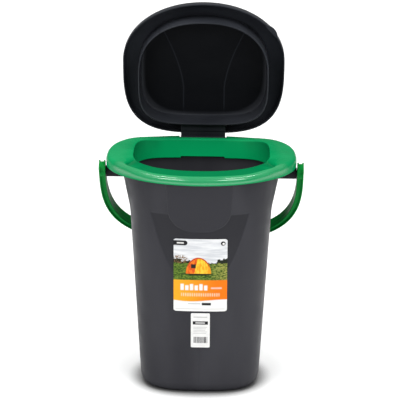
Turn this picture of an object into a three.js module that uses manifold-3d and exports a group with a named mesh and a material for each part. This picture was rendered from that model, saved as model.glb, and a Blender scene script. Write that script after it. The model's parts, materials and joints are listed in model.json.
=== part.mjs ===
// Portable camp toilet: a tapered bucket with a lift-off seat ring, a domed lid
// hinged at the rear of the seat, and a carrying bail that hangs on two studs.
// Millimetres, +Z up, the front faces -Y and +X is the right hand of someone who
// looks at the front. The origin is the centre of the bucket's base, on the ground.
// The lid is modelled open and upright, and the bail resting on the bucket's back.
import * as THREE from 'three';
import { mergeVertices } from 'three/addons/utils/BufferGeometryUtils.js';
import Module from 'manifold-3d';

const wasm = await Module();
wasm.setup();

// ---------------------------------------------------------------- dimensions
const RUNNING_GAP = 0.3; // between pieces that touch or turn in each other
const ROUND_STEPS = 64; // steps round the tub, the seat and the lid

// The tub's plan at three heights, each a superellipse centred on the origin.
const TUB_BASE = {
  z: 0, halfWidth: 114.4, front: 91.5, back: 91.5, frontPower: 2.9, backPower: 2.9,
};
const TUB_WAIST = {
  z: 354, halfWidth: 135.2, front: 115, back: 116, frontPower: 2.7, backPower: 3.2,
};
const TUB_RIM = {
  z: 444.5, halfWidth: 154, front: 130, back: 124, frontPower: 2.25, backPower: 4,
};
const TUB_WALL = 3;
const TUB_FLOOR = 4;
const TUB_BASE_ROUND = 12; // radius where the wall turns into the base
const RIM_BEAD = 2.5; // how far the rim's bead stands out
const RIM_BEAD_HEIGHT = 7;

// The front's raised tongue and the sunk shield panel behind it.
const TONGUE_RISE = 1.6;
const TONGUE_TOP = 436;
const TONGUE_FOOT = 335;
const TONGUE_BEND = 388;
const TONGUE_HALF_WIDTH = 60;
const TONGUE_SPREAD = 3;
const SHIELD_SINK = 1.1;
const SHIELD_SHOULDER = 369;
const SHIELD_HALF_WIDTH = 92;
const SHIELD_FOOT = 225;

// The seat ring: a lift-off deck with an inner splash wall and a rolled rim.
const SEAT_OUTLINE = {
  halfWidth: 181, front: 140, back: 140, frontPower: 2, backPower: 2.65, centreY: 0,
};
const OPENING_OUTLINE = {
  halfWidth: 129.5, front: 106, back: 113, frontPower: 2.2, backPower: 4.6, centreY: -2,
};
const SEAT_UNDERSIDE = TUB_RIM.z + RUNNING_GAP;
const SEAT_BACK_TOP = 450;
const SEAT_SIDE_TOP = 455;
const SEAT_LIP_TOP = 454.5;
const SEAT_CREASE_TOP = 448;
const SEAT_RIM_FOOT = 433;
const SPLASH_WALL_FOOT = 412;
const SEAT_WALL = 3;
const SEAT_BACK_ROLL = 0.45; // the outer edge's roll at the back, as a share of the front's
const HINGE_NOTCH_HALF_WIDTH = 46;
const HINGE_NOTCH_FRONT = 124;

// The lid, drawn open: w is the height over the hinge, and y grows to its back.
const HINGE = { y: 134, z: 445.5 };
const LID_RIM_Y = HINGE.y + 11.5; // the plane of the rim's free edge
const LID_OUTLINE = {
  halfWidth: 157.6, front: 145.7, back: 113, frontPower: 3.3, backPower: 2.05, centreY: 153,
};
const SKIRT_OUTLINE = {
  halfWidth: 126.5, front: 101.6, back: 102.4, frontPower: 4, backPower: 2.3, centreY: 134,
};
const LID_WALL = 2.5;
const RIM_HEIGHT = 20; // the rim's upright band, from its free edge
const DOME_RUN = 52; // how far in from the outline the dome reaches its full height
const DOME_HEIGHT = 36; // from the rim's plane to the outside of the dome
const SKIRT_DROP = 30; // how far the skirt passes the rim's plane
const SKIRT_WALL = 2.5;
const HINGE_BARREL_RADIUS = 6;
const HINGE_BARREL_HALF = 43.5;
const HINGE_PIN_RADIUS = 2.5;
const HINGE_PIN_HALF = 54;
const HINGE_PLATE_THICKNESS = 3;
const LIFT_TAB = { angle: 0.46, length: 11, halfWidth: 15, thickness: 3 };

// The bail: half a superellipse about its studs, seen square on.
const BAIL_PIVOT_Z = 418;
const BAIL_HALF_WIDTH = 188.5;
const BAIL_LENGTH = 206.5;
const BAIL_POWER = 2.9;
const BAIL_THICKNESS = 12.5;
const BAIL_BREADTH = 22;
const BAIL_WEB = 15;
const BAIL_FLANGE = 2.8;
const BAIL_HEAD = 20; // how far each arm runs on past its stud
const BAIL_REST_ANGLE = THREE.MathUtils.degToRad(36.2); // behind straight down
const BAIL_EYE_RADIUS = 11;
const STUD_RADIUS = 6;
const STUD_INNER_X = 147;
const EAR_RADIUS = 11;
const EAR_OUTER_X = 181.5;
const BAIL_STEPS = 44;

// The labels, stuck on a little to the right of the middle.
const FRONT_LABEL = { low: 173.5, high: 321.5, halfWidth: 50.5, centreX: 2, corner: 4 };
const INFO_LABEL = { low: 98, high: 169.5, halfWidth: 18, centreX: 2.5, corner: 2 };
const LABEL_THICKNESS = 0.4;
const LABEL_OFFSET = 0.3;

// Outlines seen from the front are extruded from just inside the tub, out past it.
const FRONT_PRISM_START = -40;
const FRONT_PRISM_REACH = 140;

// ---------------------------------------------------------------- solids
const { lerp, smoothstep } = THREE.MathUtils;

// A closed triangle mesh as a solid, turned so that its faces point out.
function solidFromGeometry(geometry) {
  const bare = new THREE.BufferGeometry();
  bare.setAttribute('position', geometry.getAttribute('position'));
  if (geometry.index) bare.setIndex(geometry.index);
  const merged = mergeVertices(bare, 1e-4);
  return new wasm.Manifold(new wasm.Mesh({
    numProp: 3,
    vertProperties: new Float32Array(merged.attributes.position.array),
    triVerts: new Uint32Array(merged.index.array),
  }));
}

function geometryFromSolid(solid) {
  const mesh = solid.getMesh();
  const geometry = new THREE.BufferGeometry();
  geometry.setAttribute('position', new THREE.BufferAttribute(mesh.vertProperties, 3));
  geometry.setIndex(new THREE.BufferAttribute(mesh.triVerts, 1));
  geometry.computeVertexNormals();
  return geometry;
}

function signedVolume(points, triangles) {
  let volume = 0;
  for (const [a, b, c] of triangles) {
    volume += points[a].dot(points[b].clone().cross(points[c])) / 6;
  }
  return volume;
}

// Skins a row of rings that all have the same number of points. With looped, the
// last ring joins the first; otherwise a fan closes each end.
function skin(rings, looped = false) {
  const points = rings.flat();
  const count = rings[0].length;
  const triangles = [];
  const bands = looped ? rings.length : rings.length - 1;
  for (let i = 0; i < bands; i += 1) {
    const low = i * count;
    const high = ((i + 1) % rings.length) * count;
    for (let j = 0; j < count; j += 1) {
      const next = (j + 1) % count;
      triangles.push([low + j, low + next, high + next], [low + j, high + next, high + j]);
    }
  }
  if (!looped) {
    for (const [start, turned] of [[0, true], [(rings.length - 1) * count, false]]) {
      const centre = new THREE.Vector3();
      for (let j = 0; j < count; j += 1) centre.addScaledVector(points[start + j], 1 / count);
      const hub = points.push(centre) - 1;
      for (let j = 0; j < count; j += 1) {
        const next = (j + 1) % count;
        const [a, b] = turned ? [start + next, start + j] : [start + j, start + next];
        triangles.push([a, b, hub]);
      }
    }
  }
  if (signedVolume(points, triangles) < 0) triangles.forEach((triangle) => triangle.reverse());
  const geometry = new THREE.BufferGeometry().setFromPoints(points);
  geometry.setIndex(triangles.flat());
  return solidFromGeometry(geometry);
}

// The distance from an outline's centre to its edge, less inset on every side.
function outlineRadius(outline, angle, inset = 0) {
  const behind = Math.sin(angle) > 0;
  const depth = (behind ? outline.back : outline.front) - inset;
  const power = behind ? outline.backPower : outline.frontPower;
  const across = Math.abs(Math.cos(angle)) / (outline.halfWidth - inset);
  const along = Math.abs(Math.sin(angle)) / depth;
  return (across ** power + along ** power) ** (-1 / power);
}

function outlinePoint(outline, angle, inset = 0) {
  const radius = outlineRadius(outline, angle, inset);
  return new THREE.Vector2(
    radius * Math.cos(angle),
    outline.centreY + radius * Math.sin(angle),
  );
}

// Half a step off the axes, so that no point lies on a plane of symmetry.
function roundAngles(count = ROUND_STEPS) {
  return Array.from({ length: count }, (_, i) => (2 * Math.PI * (i + 0.5)) / count);
}

function cylinderAlongX(radius, fromX, toX, y, z, sides = 32) {
  const geometry = new THREE.CylinderGeometry(radius, radius, Math.abs(toX - fromX), sides);
  geometry.rotateZ(Math.PI / 2);
  geometry.translate((fromX + toX) / 2, y, z);
  return solidFromGeometry(geometry);
}

function block(low, high) {
  const size = high.map((value, i) => value - low[i]);
  const geometry = new THREE.BoxGeometry(...size);
  geometry.translate(...high.map((value, i) => (value + low[i]) / 2));
  return solidFromGeometry(geometry);
}

// An upright outline in X and Z, extruded through the tub's front wall.
function frontPrism(shape, segments) {
  const geometry = new THREE.ExtrudeGeometry(shape, {
    depth: FRONT_PRISM_REACH, bevelEnabled: false, curveSegments: segments,
  });
  geometry.rotateX(Math.PI / 2);
  geometry.translate(0, FRONT_PRISM_START, 0);
  return solidFromGeometry(geometry);
}

// ---------------------------------------------------------------- tub
function tubSection(z) {
  const flared = z > TUB_WAIST.z;
  const [low, high] = flared ? [TUB_WAIST, TUB_RIM] : [TUB_BASE, TUB_WAIST];
  const t = (z - low.z) / (high.z - low.z);
  const section = { centreY: 0 };
  for (const key of ['halfWidth', 'front', 'back', 'frontPower', 'backPower']) {
    section[key] = lerp(low[key], high[key], t);
  }
  return section;
}

function tubRing(z, inset) {
  const section = tubSection(z);
  return roundAngles().map((angle) => {
    const point = outlinePoint(section, angle, inset);
    return new THREE.Vector3(point.x, point.y, z);
  });
}

// The tub's outside without the rim's bead, grown by offset on every side.
function tubOuter(offset = 0) {
  const rings = [];
  const roundSteps = 4;
  for (let i = 0; i <= roundSteps; i += 1) {
    const turn = (Math.PI / 2) * (i / roundSteps);
    const inset = TUB_BASE_ROUND * (1 - Math.sin(turn));
    rings.push(tubRing(TUB_BASE_ROUND * (1 - Math.cos(turn)), inset - offset));
  }
  for (const z of [90, 180, 270, TUB_WAIST.z - 8, TUB_WAIST.z + 6, 400, TUB_RIM.z]) {
    rings.push(tubRing(z, -offset));
  }
  return skin(rings);
}

function tubBead() {
  const foot = TUB_RIM.z - RIM_BEAD_HEIGHT;
  return skin([
    tubRing(foot, 1),
    tubRing(foot, -RIM_BEAD),
    tubRing(TUB_RIM.z, -RIM_BEAD),
    tubRing(TUB_RIM.z, 1),
  ]);
}

// The tongue: straight sides that spread a little, over half an ellipse.
function tongueShape() {
  const shape = new THREE.Shape();
  const halfWidth = TONGUE_HALF_WIDTH;
  shape.moveTo(-halfWidth - TONGUE_SPREAD, TONGUE_TOP);
  shape.lineTo(-halfWidth, TONGUE_BEND);
  const drop = TONGUE_BEND - TONGUE_FOOT;
  shape.absellipse(0, TONGUE_BEND, halfWidth, drop, Math.PI, 2 * Math.PI, false);
  shape.lineTo(halfWidth + TONGUE_SPREAD, TONGUE_TOP);
  shape.closePath();
  return shape;
}

// The shield: level shoulders, and sides that draw in to a rounded point.
function shieldShape() {
  const shape = new THREE.Shape();
  shape.moveTo(-SHIELD_HALF_WIDTH, SHIELD_SHOULDER);
  shape.bezierCurveTo(-84, 320, -70, 270, 0, SHIELD_FOOT);
  shape.bezierCurveTo(70, 270, 84, 320, SHIELD_HALF_WIDTH, SHIELD_SHOULDER);
  shape.closePath();
  return shape;
}

function makeTub() {
  const shield = frontPrism(shieldShape(), 10);
  const tongue = frontPrism(tongueShape(), 10);
  let solid = tubOuter();
  solid = solid.subtract(shield.subtract(tubOuter(-SHIELD_SINK)));
  solid = solid.add(tongue.intersect(tubOuter(TONGUE_RISE)));
  solid = solid.add(tubBead());
  for (const side of [-1, 1]) {
    const ear = cylinderAlongX(EAR_RADIUS, side * 140, side * EAR_OUTER_X, 0, BAIL_PIVOT_Z);
    solid = solid.add(ear);
  }
  const cavityHeights = [TUB_BASE_ROUND, 120, 240, TUB_WAIST.z, 400, TUB_RIM.z + 1];
  const cavity = skin([
    tubRing(TUB_FLOOR, TUB_WALL + 6),
    ...cavityHeights.map((z) => tubRing(z, TUB_WALL)),
  ]);
  solid = solid.subtract(cavity);
  for (const side of [-1, 1]) {
    const bore = STUD_RADIUS + RUNNING_GAP;
    solid = solid.subtract(cylinderAlongX(bore, side * 130, side * 190, 0, BAIL_PIVOT_Z));
  }
  return solid;
}

// ---------------------------------------------------------------- seat ring
// The deck's height at a share from the opening's edge (0) to the outer rim (1).
function deckTop(share, angle) {
  const frontness = smoothstep(-Math.sin(angle), 0.25, 0.85);
  const backness = smoothstep(Math.sin(angle), 0.45, 0.9);
  const sideTop = SEAT_SIDE_TOP - 3 * smoothstep(share, 0.75, 1);
  const crease = lerp(SEAT_LIP_TOP, SEAT_CREASE_TOP, smoothstep(share, 0.1, 0.62));
  const frontTop = share < 0.64 ? crease : SEAT_CREASE_TOP + 1.5 - 3 * (share - 0.7);
  return lerp(lerp(sideTop, SEAT_BACK_TOP, backness), frontTop, frontness);
}

function seatRing(angle) {
  const inner = outlinePoint(OPENING_OUTLINE, angle);
  const outer = outlinePoint(SEAT_OUTLINE, angle);
  const outward = outer.clone().sub(inner).normalize();
  const at = (share, shift, z) => {
    const point = inner.clone().lerp(outer, share).addScaledVector(outward, shift);
    return new THREE.Vector3(point.x, point.y, z);
  };
  const edge = deckTop(1, angle);
  const lip = deckTop(0.06, angle);
  const roll = lerp(1, SEAT_BACK_ROLL, smoothstep(Math.sin(angle), 0.45, 0.9));
  return [
    at(0, 0, SPLASH_WALL_FOOT),
    at(0, 0, lip - 4),
    at(0, 1.4, lip - 1),
    at(0, 4.5, lip),
    at(0.35, 0, deckTop(0.35, angle)),
    at(0.62, 0, deckTop(0.62, angle)),
    at(0.7, 0, deckTop(0.7, angle)),
    at(1, -6 * roll, edge - roll),
    at(1, -1.6 * roll, edge - 4.5 * roll),
    at(1, 0, edge - 9 * roll),
    at(1, -0.5, SEAT_RIM_FOOT),
    at(1, -SEAT_WALL - 0.5, SEAT_RIM_FOOT),
    at(1, -SEAT_WALL - 0.5, SEAT_UNDERSIDE - 1.5),
    at(1, -SEAT_WALL - 2, SEAT_UNDERSIDE),
    at(0, SEAT_WALL + 1, SEAT_UNDERSIDE),
    at(0, SEAT_WALL, SPLASH_WALL_FOOT),
  ];
}

function makeSeatRing() {
  const sections = roundAngles().map(seatRing);
  const notchHalf = HINGE_NOTCH_HALF_WIDTH;
  let solid = skin(sections, true);
  const fillLow = [-HINGE_PIN_HALF - 2, HINGE.y - 6.5, HINGE.z - 6];
  const fillHigh = [HINGE_PIN_HALF + 2, HINGE.y + 4, SEAT_BACK_TOP - 1];
  solid = solid.add(block(fillLow, fillHigh));
  const notch = block([-notchHalf, HINGE_NOTCH_FRONT, 425], [notchHalf, 160, 460]);
  solid = solid.subtract(notch);
  const pinBore = HINGE_PIN_RADIUS + RUNNING_GAP;
  solid = solid.subtract(
    cylinderAlongX(pinBore, -HINGE_PIN_HALF - 0.5, HINGE_PIN_HALF + 0.5, HINGE.y, HINGE.z, 20),
  );
  return solid;
}

// ---------------------------------------------------------------- lid
// A ring of the lid: inset from an outline, at a depth behind the rim's plane.
function lidRing(outline, inset, depth) {
  return roundAngles().map((angle) => {
    const point = outlinePoint(outline, angle, inset);
    return new THREE.Vector3(point.x, LID_RIM_Y + depth, HINGE.z + point.y);
  });
}

// The dome's depth behind the rim's plane at an inset from the lid's outline.
function domeDepth(inset) {
  const run = Math.min(inset / DOME_RUN, 1);
  return lerp(RIM_HEIGHT, DOME_HEIGHT, Math.sin((Math.PI / 2) * run) ** 0.75);
}

function makeLid() {
  const floor = DOME_HEIGHT - LID_WALL;
  const grooveInsets = [23, 12, 4];
  const domeInsets = [3, 12, 28, DOME_RUN];
  const shell = skin([
    lidRing(SKIRT_OUTLINE, SKIRT_WALL + 7, floor),
    lidRing(SKIRT_OUTLINE, SKIRT_WALL, floor - 6),
    lidRing(SKIRT_OUTLINE, SKIRT_WALL, -SKIRT_DROP),
    lidRing(SKIRT_OUTLINE, 0, -SKIRT_DROP),
    lidRing(SKIRT_OUTLINE, 0, domeDepth(33) - LID_WALL),
    ...grooveInsets.map((inset) => (
      lidRing(LID_OUTLINE, inset, domeDepth(inset) - LID_WALL)
    )),
    lidRing(LID_OUTLINE, LID_WALL, 0),
    lidRing(LID_OUTLINE, 0, 0),
    lidRing(LID_OUTLINE, 0, RIM_HEIGHT - 1),
    ...domeInsets.map((inset) => lidRing(LID_OUTLINE, inset, domeDepth(inset))),
  ]);
  const barrelHalf = HINGE_BARREL_HALF;
  const plateFront = HINGE.y + HINGE_BARREL_RADIUS - 1;
  const plate = block(
    [-barrelHalf, plateFront, HINGE.z - 0.5],
    [barrelHalf, plateFront + HINGE_PLATE_THICKNESS, HINGE.z + 28],
  );
  const web = block(
    [-barrelHalf, plateFront, HINGE.z + 12],
    [barrelHalf, LID_RIM_Y + RIM_HEIGHT + 3, HINGE.z + 14.5],
  );
  const barrel = cylinderAlongX(HINGE_BARREL_RADIUS, -barrelHalf, barrelHalf, HINGE.y, HINGE.z);
  const bore = cylinderAlongX(
    HINGE_PIN_RADIUS + RUNNING_GAP, -barrelHalf - 1, barrelHalf + 1, HINGE.y, HINGE.z, 20,
  );
  return shell.add(plate).add(web).add(barrel).add(makeLiftTab()).subtract(bore);
}

// The finger tab that stands out of the rim near the lid's free corner.
function makeLiftTab() {
  const { angle, length, halfWidth, thickness } = LIFT_TAB;
  const edge = outlinePoint(LID_OUTLINE, angle, 4);
  const ahead = outlinePoint(LID_OUTLINE, angle + 0.05, 4);
  const along = Math.atan2(ahead.y - edge.y, ahead.x - edge.x);
  const shape = new THREE.Shape();
  shape.moveTo(-halfWidth, 0);
  shape.lineTo(halfWidth, 0);
  shape.bezierCurveTo(halfWidth * 0.7, -length, -halfWidth * 0.7, -length, -halfWidth, 0);
  const geometry = new THREE.ExtrudeGeometry(shape, {
    depth: thickness, bevelEnabled: false, curveSegments: 10,
  });
  geometry.rotateZ(along);
  geometry.rotateX(Math.PI / 2);
  geometry.translate(edge.x, LID_RIM_Y + thickness, HINGE.z + edge.y);
  return solidFromGeometry(geometry);
}

function makeHingePin() {
  return cylinderAlongX(
    HINGE_PIN_RADIUS, -HINGE_PIN_HALF, HINGE_PIN_HALF, HINGE.y, HINGE.z, 20,
  );
}

// ---------------------------------------------------------------- bail
// The bail's I section: u points away from the studs, v to the bail's front side.
function bailSection() {
  const face = BAIL_THICKNESS / 2;
  const root = face - BAIL_FLANGE;
  const half = BAIL_BREADTH / 2;
  const web = BAIL_WEB / 2;
  return [
    [-face, -half], [-root, -half], [-root, -web], [root, -web], [root, -half], [face, -half],
    [face, half], [root, half], [root, web], [-root, web], [-root, half], [-face, half],
  ];
}

function makeBail() {
  const across = new THREE.Vector3(1, 0, 0);
  const down = new THREE.Vector3(0, Math.sin(BAIL_REST_ANGLE), -Math.cos(BAIL_REST_ANGLE));
  const front = new THREE.Vector3(0, -Math.cos(BAIL_REST_ANGLE), -Math.sin(BAIL_REST_ANGLE));
  const pivot = new THREE.Vector3(0, 0, BAIL_PIVOT_Z);
  const onPath = (turn) => {
    const outline = {
      halfWidth: BAIL_HALF_WIDTH, front: BAIL_LENGTH, back: BAIL_LENGTH,
      frontPower: BAIL_POWER, backPower: BAIL_POWER, centreY: 0,
    };
    return outlinePoint(outline, turn);
  };
  const ringAt = (point, outward) => bailSection().map(([u, v]) => (
    pivot.clone()
      .addScaledVector(across, point.x + outward.x * u)
      .addScaledVector(down, point.y + outward.y * u)
      .addScaledVector(front, v)
  ));
  const headAt = (side) => ringAt(
    new THREE.Vector2(side * BAIL_HALF_WIDTH, -BAIL_HEAD),
    new THREE.Vector2(side, 0),
  );
  const rings = [headAt(1)];
  for (let i = 0; i <= BAIL_STEPS; i += 1) {
    const turn = (Math.PI * i) / BAIL_STEPS;
    const tangent = onPath(turn + 0.01).sub(onPath(turn - 0.01)).normalize();
    rings.push(ringAt(onPath(turn), new THREE.Vector2(tangent.y, -tangent.x)));
  }
  rings.push(headAt(-1));
  let solid = skin(rings);
  const eyeInner = BAIL_HALF_WIDTH - BAIL_THICKNESS / 2;
  const eyeOuter = BAIL_HALF_WIDTH + BAIL_THICKNESS / 2;
  for (const side of [-1, 1]) {
    const eye = cylinderAlongX(BAIL_EYE_RADIUS, side * eyeInner, side * eyeOuter, 0, BAIL_PIVOT_Z);
    const stud = cylinderAlongX(
      STUD_RADIUS, side * STUD_INNER_X, side * (eyeInner + 1), 0, BAIL_PIVOT_Z,
    );
    solid = solid.add(eye).add(stud);
  }
  return solid;
}

// ---------------------------------------------------------------- labels
function labelShape({ low, high, halfWidth, corner }) {
  const shape = new THREE.Shape();
  shape.moveTo(-halfWidth + corner, low);
  shape.lineTo(halfWidth - corner, low);
  shape.quadraticCurveTo(halfWidth, low, halfWidth, low + corner);
  shape.lineTo(halfWidth, high - corner);
  shape.quadraticCurveTo(halfWidth, high, halfWidth - corner, high);
  shape.lineTo(-halfWidth + corner, high);
  shape.quadraticCurveTo(-halfWidth, high, -halfWidth, high - corner);
  shape.lineTo(-halfWidth, low + corner);
  shape.quadraticCurveTo(-halfWidth, low, -halfWidth + corner, low);
  return shape;
}

// A thin sheet that follows the tub's front.
function makeLabel(label) {
  const prism = frontPrism(labelShape(label), 3).translate([label.centreX, 0, 0]);
  const back = tubOuter(LABEL_OFFSET);
  const face = tubOuter(LABEL_OFFSET + LABEL_THICKNESS);
  return prism.intersect(face.subtract(back));
}

// ---------------------------------------------------------------- assembly
const finishes = {
  tub: { color: '#404045', roughness: 0.5, metalness: 0 },
  seat: { color: '#19b273', roughness: 0.3, metalness: 0 },
  lid: { color: '#17171b', roughness: 0.35, metalness: 0 },
  bail: { color: '#0d7a3c', roughness: 0.45, metalness: 0 },
  pin: { color: '#17171b', roughness: 0.4, metalness: 0 },
  paper: { color: '#e8e4da', roughness: 0.6, metalness: 0 },
};

const toilet = new THREE.Group();

function addPiece(name, solid, finish) {
  const mesh = new THREE.Mesh(
    geometryFromSolid(solid),
    new THREE.MeshStandardMaterial(finishes[finish]),
  );
  mesh.name = name;
  toilet.add(mesh);
}

addPiece('tub', makeTub(), 'tub');
addPiece('seat_ring', makeSeatRing(), 'seat');
addPiece('lid', makeLid(), 'lid');
addPiece('lid_hinge_pin', makeHingePin(), 'pin');
addPiece('bail_handle', makeBail(), 'bail');
addPiece('front_label', makeLabel(FRONT_LABEL), 'paper');
addPiece('info_label', makeLabel(INFO_LABEL), 'paper');

export default toilet;
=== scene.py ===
"""The looks of a portable camp toilet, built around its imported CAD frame.

Lengths are in millimetres until a mesh, a light or the camera takes them in metres,
unless a name or comment says metres. The frame's axes hold: +Z up, the front faces
-Y, and the origin is under the tub.
"""
import json
import math

import bmesh
import bpy
import numpy as np
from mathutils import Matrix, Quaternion, Vector


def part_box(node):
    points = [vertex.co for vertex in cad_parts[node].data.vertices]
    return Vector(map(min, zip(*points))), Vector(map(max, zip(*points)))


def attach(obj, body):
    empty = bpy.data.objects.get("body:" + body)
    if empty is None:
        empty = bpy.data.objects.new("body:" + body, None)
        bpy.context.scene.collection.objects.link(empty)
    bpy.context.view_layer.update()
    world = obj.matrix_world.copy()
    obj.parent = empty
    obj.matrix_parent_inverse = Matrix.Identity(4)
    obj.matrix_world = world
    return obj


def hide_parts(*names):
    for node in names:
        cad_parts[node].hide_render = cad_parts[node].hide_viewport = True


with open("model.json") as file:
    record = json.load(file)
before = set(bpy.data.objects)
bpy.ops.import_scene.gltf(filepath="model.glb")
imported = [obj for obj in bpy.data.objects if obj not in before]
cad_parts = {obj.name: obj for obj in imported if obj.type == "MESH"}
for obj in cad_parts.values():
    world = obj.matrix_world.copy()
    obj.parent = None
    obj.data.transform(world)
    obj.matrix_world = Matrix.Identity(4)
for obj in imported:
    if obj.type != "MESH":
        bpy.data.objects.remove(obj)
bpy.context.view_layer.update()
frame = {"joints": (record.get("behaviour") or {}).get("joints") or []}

MM = 0.001


def node_box(name):
    """A CAD node's lowest and highest corners, in millimetres."""
    low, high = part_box(name)
    return low / MM, high / MM


TUB_HIGH = node_box("tub")[1]
SEAT_LOW, SEAT_HIGH = node_box("seat_ring")
LID_LOW, LID_HIGH = node_box("lid")
BAIL_HIGH = node_box("bail_handle")[1]
PIN_LOW, PIN_HIGH = node_box("lid_hinge_pin")
FRONT_LABEL_LOW, FRONT_LABEL_HIGH = node_box("front_label")
INFO_LABEL_LOW, INFO_LABEL_HIGH = node_box("info_label")
JOINTS = {joint["name"]: joint for joint in frame["joints"]}
HINGE_Y, HINGE_Z = (value / MM for value in JOINTS["lid_hinge"]["pos_m"][1:])
PIVOT_Z = JOINTS["bail_swing"]["pos_m"][2] / MM

# ------------------------------------------------------------------ outlines
# An outline is half a superellipse in front of its centre and half behind it.


class Outline:
    """A plan outline with its own depth and roundness in front and behind."""

    def __init__(self, half_width, front, back, front_power, back_power, centre=0.0):
        self.values = np.array([half_width, front, back, front_power, back_power])
        self.centre = centre

    def points(self, angles, inset=0.0):
        """Points on the outline, each moved in by inset, which may be an array."""
        half_width, front, back, front_power, back_power = self.values
        behind = np.sin(angles) > 0
        depth = np.where(behind, back, front) - inset
        power = np.where(behind, back_power, front_power)
        across = np.abs(np.cos(angles)) / (half_width - inset)
        along = np.abs(np.sin(angles)) / depth
        radius = (across ** power + along ** power) ** (-1 / power)
        x = radius * np.cos(angles)
        y = self.centre + radius * np.sin(angles)
        return np.stack([x, y], axis=-1)

    def toward(self, other, share):
        """The outline a share of the way from this one to another."""
        mixed = Outline(*((1 - share) * self.values + share * other.values))
        mixed.centre = (1 - share) * self.centre + share * other.centre
        return mixed


TUB_BASE = Outline(114.4, 91.5, 91.5, 2.9, 2.9)
TUB_WAIST = Outline(135.2, 115, 116, 2.7, 3.2)
TUB_RIM = Outline(154, 130, 124, 2.25, 4)
WAIST_Z = 354
RIM_Z = TUB_HIGH.z
SEAT_OUTLINE = Outline(SEAT_HIGH.x, 139.8, 140, 2, 2.65)
OPENING_OUTLINE = Outline(129.5, 106, 113, 2.2, 4.6, centre=-2)
LID_OUTLINE = Outline(157.5, 145.7, 112.8, 3.3, 2.05, centre=153)
SKIRT_OUTLINE = Outline(126.5, 101.6, 102.4, 4, 2.3, centre=134)


def smoothstep(value, low, high):
    """0 up to low, 1 from high on, and an even curve between them."""
    t = np.clip((value - low) / (high - low), 0, 1)
    return t * t * (3 - 2 * t)


def round_angles(count, dense_from=None, dense_to=None, dense_share=0.5):
    """Angles round an outline, with a share of them in one dense stretch."""
    if dense_from is None:
        return np.arange(count) * 2 * math.pi / count
    dense_count = int(count * dense_share)
    dense = np.linspace(dense_from, dense_to, dense_count, endpoint=False)
    rest = np.linspace(dense_to, dense_from + 2 * math.pi, count - dense_count, endpoint=False)
    return np.concatenate([dense, rest])


def fillet(points, radii, steps=5, closed=False):
    """A line through points in 2D or 3D with its corners rounded; radius 0 keeps a corner."""
    points = [np.asarray(point, float) for point in points]
    count = len(points)
    line = []
    for i, here in enumerate(points):
        if radii[i] <= 0 or (not closed and i in (0, count - 1)):
            line.append(here)
            continue
        before = points[i - 1] - here
        after = points[(i + 1) % count] - here
        before_length = np.linalg.norm(before)
        after_length = np.linalg.norm(after)
        before, after = before / before_length, after / after_length
        half = math.acos(float(np.clip(before @ after, -1, 1))) / 2
        reach = min(radii[i] / math.tan(half), before_length * 0.48, after_length * 0.48)
        start, end = here + before * reach, here + after * reach
        for k in range(steps + 1):
            t = k / steps
            line.append((1 - t) ** 2 * start + 2 * t * (1 - t) * here + t * t * end)
    return np.array(line)


# ------------------------------------------------------------------ meshes
ROD_SIDES = 48
ROD_TIP = 0.01  # the radius of the small flat that closes each end of a rod
WELD_METRES = 1e-6
BEVEL_STEPS = 4


def mesh_object(name, points, faces):
    """A smooth-shaded object in metres from points in millimetres."""
    mesh = bpy.data.meshes.new(name)
    mesh.from_pydata([tuple(p) for p in np.asarray(points) * MM], [], faces)
    piece = bpy.data.objects.new(name, mesh)
    bpy.context.scene.collection.objects.link(piece)
    work = bmesh.new()
    work.from_mesh(mesh)
    bmesh.ops.remove_doubles(work, verts=work.verts, dist=WELD_METRES)
    bmesh.ops.recalc_face_normals(work, faces=work.faces)
    for face in work.faces:
        face.smooth = True
    work.to_mesh(mesh)
    work.free()
    return piece


def skin(name, rings, looped=False):
    """Skins rings of equal counts; unless looped, a face closes each end."""
    rings = np.asarray(rings, float)
    count = rings.shape[1]
    bands = len(rings) if looped else len(rings) - 1
    faces = []
    for i in range(bands):
        low = i * count
        high = ((i + 1) % len(rings)) * count
        for j in range(count):
            k = (j + 1) % count
            faces.append((low + j, low + k, high + k, high + j))
    if not looped:
        faces.append(tuple(range(count))[::-1])
        last = (len(rings) - 1) * count
        faces.append(tuple(range(last, last + count)))
    return mesh_object(name, rings.reshape(-1, 3), faces)


def rings_along_x(profile, y, z):
    """A ring round a line along X for each (x, radius) of a profile."""
    turns = np.arange(ROD_SIDES) * 2 * math.pi / ROD_SIDES
    return [
        np.stack(
            [np.full(ROD_SIDES, x), y + radius * np.cos(turns), z + radius * np.sin(turns)],
            axis=-1,
        )
        for x, radius in profile
    ]


def rod_along_x(name, radius, from_x, to_x, y, z, round_edge):
    """A rod along X with rounded rims."""
    corners = [(from_x, ROD_TIP), (from_x, radius), (to_x, radius), (to_x, ROD_TIP)]
    profile = fillet(corners, [0, round_edge, round_edge, 0], 4)
    return skin(name, rings_along_x(profile, y, z))


def tube_along_x(name, profile, y, z):
    """A pierced round body along X from its closed profile of (x, radius)."""
    return skin(name, rings_along_x(profile, y, z), looped=True)


def cut(piece, tool):
    """Takes the tool's shape out of the piece and removes the tool."""
    modifier = piece.modifiers.new("cut", "BOOLEAN")
    modifier.operation = "DIFFERENCE"
    modifier.solver = "EXACT"
    modifier.object = tool
    apply_modifiers(piece)
    bpy.data.objects.remove(tool)


def apply_modifiers(piece):
    """Makes the piece's modifiers part of its mesh."""
    bpy.context.view_layer.update()
    graph = bpy.context.evaluated_depsgraph_get()
    mesh = bpy.data.meshes.new_from_object(piece.evaluated_get(graph))
    piece.modifiers.clear()
    piece.data = mesh


def sharpen(piece, degrees=40):
    """Keeps edges steeper than this crisp in the shading."""
    piece.data.set_sharp_from_angle(angle=math.radians(degrees))


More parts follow.
